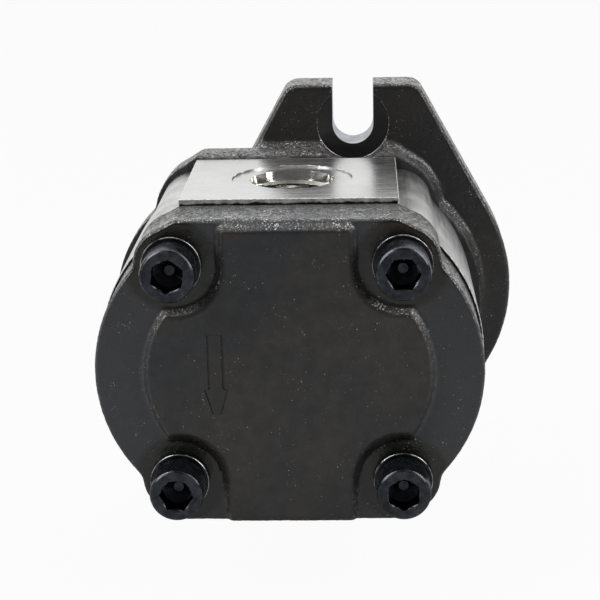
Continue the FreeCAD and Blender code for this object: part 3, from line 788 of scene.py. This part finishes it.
def port_thread(name, way, minor_r, major_r, pitch, start, stop, lead):
    """A thread's ridge wound down its bore, cut off by a cone where the bore's lead in starts."""
    root = major_r + thread_bite
    bpy.ops.mesh.primitive_plane_add(size=1, rotation=(math.pi / 2, 0, 0))
    ridge = bpy.context.object
    ridge.name = name
    bpy.ops.object.transform_apply(rotation=True)
    edit(ridge)
    bpy.ops.transform.resize(value=(root - minor_r, 1, ridge_foot * pitch))
    bpy.ops.transform.translate(value=((root + minor_r) / 2, 0, stop))
    pick_corners(ridge, lambda co: co.x < (root + minor_r) / 2)
    bpy.ops.transform.resize(value=(1, 1, ridge_crest))
    bpy.ops.mesh.select_all(action="SELECT")
    bpy.ops.mesh.delete(type="ONLY_FACE")
    close_edit()
    turns = (start - stop) / pitch
    steps = round(thread_steps * turns)
    finish_with(ridge, "SCREW", axis="Z", angle=2 * math.pi * turns, screw_offset=start - stop,
                steps=steps, render_steps=steps, use_merge_vertices=False)
    edit(ridge)
    bpy.ops.mesh.select_all(action="DESELECT")
    bpy.ops.mesh.select_non_manifold()
    bpy.ops.mesh.fill_holes(sides=0)
    close_shell()
    bpy.ops.mesh.primitive_cone_add(
        vertices=round_sides, radius1=minor_r - lead_in_low, radius2=minor_r + lead_in_high,
        depth=lead_in_low + lead_in_high, location=(0, 0, lead + (lead_in_high - lead_in_low) / 2))
    cut_with(ridge, bpy.context.object)
    if way < 0:
        ridge.data.transform(Matrix.Rotation(math.pi, 4, "X"))
    ridge.data.transform(Matrix.Translation((pump_x, port_y, 0)))
    ridge.data.materials.append(tapped_metal)
    put_together(ridge, "machined_housing", "gear_body")
    smooth_by(ridge, 35)


for name, sizes in ports.items():
    port_thread(name, *sizes)


# Rear cover
# The real cover is a second casting of the same iron and paint. It closes the gears at the back.
# A raised pad, bitten away round each screw, stiffens it. An arrow cast on the pad shows which way the shaft turns.

cover_low, cover_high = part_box("rear_cover")
pad_y = cover_low.y
cover_joint_y = cover_high.y
cover_land_y = pad_y + 2.0 * mm
clearance_r = 5.06 * mm
arrow_x = -36.25 * mm
arrow_top_z = 11.7 * mm
arrow_neck_z = -3.35 * mm
arrow_tip_z = -10.4 * mm
arrow_shaft = 3.3 * mm
arrow_head = 5.5 * mm
arrow_shoulder = 0.3 * mm
arrow_tip_share = 0.36
arrow_root = 1.2 * mm
arrow_proud = 0.02 * mm
arrow_grain = 0.13 * mm
channel_wide = 0.5 * mm
channel_depth = 0.6 * mm
recess_shade_r = 12.6 * mm
cover_rounding = 0.22 * mm
cover_grain = 0.57 * mm

cover_paint = cast_paint(
    "cover_paint", (0.0340, 0.0308, 0.0245), (0.0210, 0.0222, 0.0252), (0.18, 0.18, 0.19), 0.24, 0.36,
    0.08 * mm, 0.72, joint=cover_joint_y, reach=14.0 * mm,
    land=cover_land_y, shaded_recesses=(pump_x, screw_spread, recess_shade_r))


def draw_out(move):
    """Extrude what is selected and move it."""
    bpy.ops.mesh.extrude_region_move(TRANSFORM_OT_translate={"value": move})


def arrow_shape(name, grow, y0, y1):
    """A flat arrow pointing down: a strip whose lower edge is drawn out to a wider head and then to a tip."""
    half_way_z = (arrow_top_z + arrow_neck_z) / 2
    bpy.ops.mesh.primitive_plane_add(size=1, location=(arrow_x, y0, half_way_z), rotation=(math.pi / 2, 0, 0))
    arrow = bpy.context.object
    arrow.name = name
    bpy.ops.object.transform_apply(location=True, rotation=True)
    edit(arrow)
    bpy.ops.transform.resize(value=(arrow_shaft + 2 * grow, 1, arrow_top_z - arrow_neck_z))
    pick_corners(arrow, lambda co: co.z < half_way_z)
    draw_out((0, 0, -arrow_shoulder))
    bpy.ops.transform.resize(value=((arrow_head + 2 * grow) / (arrow_shaft + 2 * grow), 1, 1))
    draw_out((0, 0, arrow_tip_z - arrow_neck_z + arrow_shoulder))
    bpy.ops.transform.resize(value=(arrow_tip_share, 1, 1))
    bpy.ops.mesh.select_all(action="SELECT")
    draw_out((0, y1 - y0, 0))
    close_shell()
    return arrow


cover = copy_of_node("rear_cover", "cover_casting")
move_corners(cover, lambda co: co.y > cover_joint_y - near, (0, cover_rounding, 0))
cast_skin(cover, cover_grain)
saw_off(cover, (0, cover_joint_y, 0), (0, 1, 0))
holes = at_screws(clearance_r, pad_y - past, cover_joint_y + past)
holes += at_dowels(cover_joint_y - dowel_reach, cover_joint_y + past)
cut_with(cover, drills(holes))
cut_with(cover, arrow_shape("arrow_channel", channel_wide, pad_y - past, pad_y + channel_depth))
cover.data.materials.append(cover_paint)
put_together(cover, "black_casting", "rear_cover")
smooth_by(cover, 35)

arrow = arrow_shape("cast_arrow", 0.0, pad_y + arrow_root, pad_y - arrow_proud)
finish_with(arrow, "REMESH", mode="VOXEL", voxel_size=arrow_grain)
finish_with(arrow, "SMOOTH", factor=0.5, iterations=4)
arrow.data.materials.append(cover_paint)
put_together(arrow, "black_casting")
smooth_by(arrow, 35)


# Cap screws and washers
# The real screws are socket screws of forged steel with rolled threads, in black oxide with a little oil on it.
# Each one passes a hardened washer, the cover and the body, and is tightened into the flange.

head_r = 7.15 * mm
head_height = 9.6 * mm
head_seat_y = -95.7 * mm
screw_r = 4.76 * mm
screw_tip_y = -14.2 * mm
socket_corner_r = 7.94 * mm / math.sqrt(3)
socket_depth = 5.4 * mm
socket_mouth_r = 4.4 * mm
dark_from = 0.35 * mm
drill_flat_r = 0.5 * mm
edge_bevel = 0.10 * mm
screw_sides = 72
washer_r = 8.0 * mm
washer_thickness = 1.6 * mm
washer_rounding = 0.28 * mm
rubbed_rim_wide = 0.26 * mm
rubbed_rim_high = 0.3 * mm
hex_start = 30.0
socket_turns = {"upper_left": 37.0, "upper_right": 0.0, "lower_left": 4.0, "lower_right": 30.0}


def black_oxide_steel(name, dark, light, rough_low, rough_high):
    """Black oxide on steel: blue black mottling, rubbed bright along its edges."""
    material, tree, surface = new_finish(name)
    link = tree.links.new
    surface.inputs["Metallic"].default_value = 0.9
    place = add(tree, "ShaderNodeTexCoord").outputs["Object"]
    mottle = noise(tree, place, 420.0, 5.0, 0.6)
    wear = add(tree, "ShaderNodeGroup", node_tree=worn_edge, Start=0.60, End=0.78, Break_up=900.0).outputs["Mask"]
    oxide = blended(tree, ranged(tree, mottle, 0.38, 0.62), dark, light)
    link(blended(tree, wear, oxide, (0.30, 0.30, 0.31)), surface.inputs["Base Color"])
    link(ranged(tree, mottle, 0.3, 0.7, rough_low, rough_high), surface.inputs["Roughness"])
    raise_by(tree, noise(tree, place, 2600.0, 3.0, 0.6), 0.4, 0.01 * mm)
    return material


screw_oxide = black_oxide_steel("screw_oxide", (0.030, 0.033, 0.039), (0.066, 0.071, 0.082), 0.18, 0.32)
# a darker oxide for the inside of the socket, as painted shade
socket_shade_oxide = black_oxide_steel("socket_shade_oxide", (0.012, 0.013, 0.016), (0.024, 0.026, 0.031), 0.24, 0.36)
washer_oxide = black_oxide_steel("washer_oxide", (0.015, 0.016, 0.018), (0.034, 0.035, 0.038), 0.16, 0.26)
rubbed_oxide = bare_metal(
    "rubbed_oxide_edge", (0.03, 0.031, 0.035), (0.50, 0.50, 0.51), 0.18, 0.34, "Brushed", 0.01 * mm,
    stretch=(1200, 1200, 1200), stains=520.0)


def turned_up(name, rings):
    """A turned piece along +Y from (y, radius) rings: a disc drawn out ring by ring."""
    y, radius = rings[0]
    bpy.ops.mesh.primitive_circle_add(
        vertices=screw_sides, radius=radius, fill_type="NGON", location=(0, y, 0), rotation=(math.pi / 2, 0, 0))
    piece = bpy.context.object
    piece.name = name
    bpy.ops.object.transform_apply(location=True, rotation=True)
    edit(piece)
    for next_y, next_radius in rings[1:]:
        draw_out((0, next_y - y, 0))
        change = next_radius / radius
        bpy.ops.transform.resize(value=(change, 1, change), center_override=(0, next_y, 0))
        y, radius = next_y, next_radius
    close_shell()
    return piece


head_y = head_seat_y - head_height
# rings from the head's top, over its rounded rims and under it, and down the shank to the tip
screw = turned_up("cap_screw", [
    (head_y, head_r - 0.62 * mm), (head_y + 0.42 * mm, head_r - 0.16 * mm),
    (head_y + 0.95 * mm, head_r), (head_seat_y - 0.45 * mm, head_r),
    (head_seat_y - 0.12 * mm, head_r - 0.12 * mm), (head_seat_y, head_r - 0.45 * mm),
    (head_seat_y, screw_r), (screw_tip_y - 0.9 * mm, screw_r), (screw_tip_y, screw_r - 0.9 * mm)])
bpy.ops.mesh.primitive_cylinder_add(
    vertices=6, radius=socket_corner_r, depth=socket_depth + past,
    location=(0, head_y + (socket_depth - past) / 2, 0), rotation=(math.pi / 2, 0, 0))
cut_with(screw, bpy.context.object)
# the drill's cone in the socket's floor, then the chamfer round its mouth
for wide_r, narrow_r, y0, y1 in (
        (3.97 * mm, 1.3 * mm, head_y + socket_depth - near, head_y + socket_depth + 1.3 * mm),
        (5.45 * mm, 4.00 * mm, head_y - past, head_y + 0.32 * mm)):
    bpy.ops.mesh.primitive_cone_add(
        vertices=screw_sides, radius1=wide_r, radius2=narrow_r, depth=y1 - y0,
        location=(0, (y0 + y1) / 2, 0), rotation=(-math.pi / 2, 0, 0))
    cut_with(screw, bpy.context.object)
for finish in (screw_oxide, socket_shade_oxide, rubbed_oxide):
    screw.data.materials.append(finish)
finish_with(screw, "BEVEL", width=edge_bevel, segments=2,
            limit_method="ANGLE", angle_limit=math.radians(22), material=2)
for face in screw.data.polygons:
    if face.material_index == 2:
        continue
    depth = face.center.y - head_y
    from_axis = math.hypot(face.center.x, face.center.z)
    # deep in the socket the faces take the darker socket oxide, as painted shade, but the drilled floor keeps the
    # head's oxide
    drilled_floor = from_axis < drill_flat_r and depth > socket_depth
    in_socket = dark_from < depth < head_height and from_axis < socket_mouth_r
    face.material_index = int(in_socket and not drilled_floor)
smooth_by(screw, 45)
finish_with(screw, "WEIGHTED_NORMAL", weight=100, keep_sharp=True)

bpy.ops.mesh.primitive_plane_add(size=1, location=(0, 0, 0))
washer = bpy.context.object
washer.name = "washer"
edit(washer)
bpy.ops.transform.resize(value=(washer_r - clearance_r, washer_thickness, 1))
bpy.ops.transform.translate(value=((washer_r + clearance_r) / 2, head_seat_y + washer_thickness / 2, 0))
bpy.ops.mesh.bevel(offset=washer_rounding, segments=3, affect="VERTICES")
bpy.ops.mesh.select_all(action="SELECT")
bpy.ops.mesh.delete(type="ONLY_FACE")
bpy.ops.mesh.select_all(action="SELECT")
bpy.ops.mesh.spin(steps=round_sides, angle=2 * math.pi, center=(0, 0, 0), axis=(0, 1, 0))
bpy.ops.mesh.select_all(action="SELECT")
bpy.ops.mesh.remove_doubles(threshold=merge_reach)
close_shell()
washer.data.materials.append(washer_oxide)
washer.data.materials.append(rubbed_oxide)
for face in washer.data.polygons:
    from_axis = math.hypot(face.center.x, face.center.z)
    face.material_index = int(
        from_axis > washer_r - rubbed_rim_wide and face.center.y < head_seat_y + rubbed_rim_high)
smooth_by(washer, 30)

for place, turn in socket_turns.items():
    x = pump_x + (screw_spread if "right" in place else -screw_spread)
    z = screw_spread if "upper" in place else -screw_spread
    for pattern, title in ((screw, "cap_screw_"), (washer, "washer_")):
        copy = bpy.data.objects.new("fitted_" + title + place, pattern.data.copy())
        bpy.context.scene.collection.objects.link(copy)
        spun = Matrix.Rotation(math.radians(turn - hex_start), 4, "Y")
        copy.data.transform(Matrix.Translation((x, 0, z)) @ spun)
        put_together(copy, "black_oxide_steel", title + place)
bpy.data.objects.remove(screw)
bpy.data.objects.remove(washer)


# Studio
# A plain pale floor under the pump, a white backdrop, and soft lamps above and at both sides. The camera sees the
# floor and the backdrop as white, and metal mirrors them behind the pump.

bpy.ops.mesh.primitive_plane_add(size=6, location=(0, 0, cad_low.z))
floor = bpy.context.object
floor.name = "floor"
pale_floor, tree, surface = new_finish("pale_floor")
link = tree.links.new
surface.inputs["Base Color"].default_value = (0.38, 0.38, 0.38, 1)
surface.inputs["Roughness"].default_value = 0.9
glow = add(tree, "ShaderNodeEmission")
ray = add(tree, "ShaderNodeLightPath")
parts = add(tree, "ShaderNodeSeparateXYZ")
link(add(tree, "ShaderNodeTexCoord").outputs["Object"], parts.inputs["Vector"])
behind = ranged(tree, parts.outputs["Y"], 0.0, 0.20, 0.0, 0.9)
share = maths(tree, "MULTIPLY", ray.outputs["Is Camera Ray"], 0.95)
share = maths(tree, "ADD", share, maths(tree, "MULTIPLY", ray.outputs["Is Glossy Ray"], behind))
blend = add(tree, "ShaderNodeMixShader")
link(share, blend.inputs["Fac"])
link(surface.outputs["BSDF"], blend.inputs[1])
link(glow.outputs["Emission"], blend.inputs[2])
link(blend.outputs["Shader"], tree.nodes["Material Output"].inputs["Surface"])
floor.data.materials.append(pale_floor)

bright_side = Vector((-0.12, 0.98, 0.08))
world = bpy.context.scene.world or bpy.data.worlds.new("studio")
bpy.context.scene.world = world
world.use_nodes = True
tree = world.node_tree
link = tree.links.new
air = tree.nodes["Background"]
ray = add(tree, "ShaderNodeLightPath")
towards = add(tree, "ShaderNodeTexCoord")
along = add(tree, "ShaderNodeVectorMath", operation="DOT_PRODUCT")
along.inputs[1].default_value = bright_side
link(towards.outputs["Generated"], along.inputs[0])
seen = add(tree, "ShaderNodeMix", data_type="FLOAT", B=1.0)
link(ranged(tree, along.outputs["Value"], -0.25, 0.65, 0.13, 1.0), seen.inputs["A"])
link(ray.outputs["Is Camera Ray"], seen.inputs["Factor"])
link(seen.outputs["Result"], air.inputs["Strength"])
air.inputs["Color"].default_value = (1, 1, 1, 1)


def softbox(name, place, aim, width, height, power):
    """Rectangular soft lamp that faces a point."""
    lamp = bpy.data.lights.new(name, "AREA")
    lamp.shape = "RECTANGLE"
    lamp.size = width
    lamp.size_y = height
    lamp.energy = power
    holder = bpy.data.objects.new(name, lamp)
    holder.location = place
    holder.rotation_mode = "QUATERNION"
    holder.rotation_quaternion = (Vector(aim) - Vector(place)).to_track_quat("-Z", "Y")
    bpy.context.scene.collection.objects.link(holder)


middle = (cad_low + cad_high) / 2
softbox("top_lamp", (-0.05, 0.20, 0.72), middle, 0.4, 0.3, 1.0)
softbox("left_lamp", (-0.56, -0.33, 0.50), middle, 0.25, 0.7, 4.0)
softbox("right_lamp", (0.62, -0.27, 0.45), middle, 0.25, 0.7, 3.6)

camera_place = (3.539 * mm, -511.041 * mm, 144.596 * mm)
camera_yaw = -0.04135
camera_pitch = 0.28935
camera_roll = -0.02091
pixel_focus = 1671.03
sensor = 36.0
photo_width = 600
camera = bpy.data.cameras.new("camera")
camera.sensor_width = sensor
camera.lens = pixel_focus * sensor / photo_width
holder = bpy.data.objects.new("camera", camera)
turn = Matrix.Rotation(-camera_yaw, 4, "Z") @ Matrix.Rotation(math.pi / 2 - camera_pitch, 4, "X")
holder.matrix_world = Matrix.Translation(camera_place) @ turn @ Matrix.Rotation(camera_roll, 4, "Z")
bpy.context.scene.collection.objects.link(holder)
bpy.context.scene.camera = holder
bpy.context.scene.view_settings.view_transform = "Standard"
